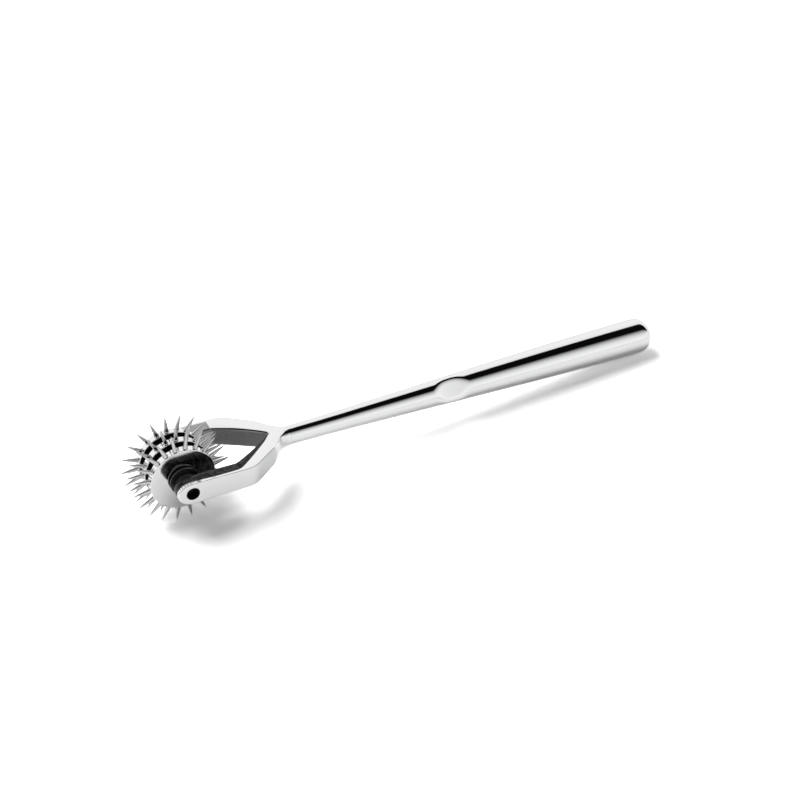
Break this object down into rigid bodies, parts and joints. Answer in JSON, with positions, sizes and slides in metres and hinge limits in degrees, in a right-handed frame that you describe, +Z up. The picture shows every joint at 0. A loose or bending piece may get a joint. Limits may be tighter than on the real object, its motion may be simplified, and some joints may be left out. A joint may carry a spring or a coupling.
{
  "type": "neurological pinwheel",
  "caption": "Hand-held sensory test wheel: rows of thin spikes on a drum that spins on an axle in a two-armed fork, with a round tapering handle.",
  "frame": {"origin": "On the table, under the middle of the whole tool's bounding box, as it lies on its spikes and the end of its handle", "axes": "+X from the wheel towards the end of the handle, +Y along the axle from the near arm to the far arm, +Z up"},
  "size_m": [0.173, 0.0268, 0.03],
  "materials": {
    "polished_steel": "mirror-polished stainless steel",
    "turned_steel": "fine turned stainless steel"
  },
  "bodies": {
    "frame": {"fork": "polished_steel", "handle": "polished_steel", "axle_pin": "turned_steel", "near_thrust_washer": "turned_steel", "far_thrust_washer": "turned_steel", "near_side_collar": "turned_steel", "far_side_collar": "turned_steel"},
    "spiked_wheel": {"hub_sleeve": "turned_steel", "near_spiked_disc": "polished_steel", "middle_spiked_disc": "polished_steel", "far_spiked_disc": "polished_steel", "near_disc_spacer": "turned_steel", "far_disc_spacer": "turned_steel"}
  },
  "joints": [
    {"name": "wheel_spin", "type": "hinge", "parent": "frame", "child": "spiked_wheel", "pos_m": [-0.0715, 0, 0.015], "axis": [0, 1, 0], "continuous": true}
  ]
}
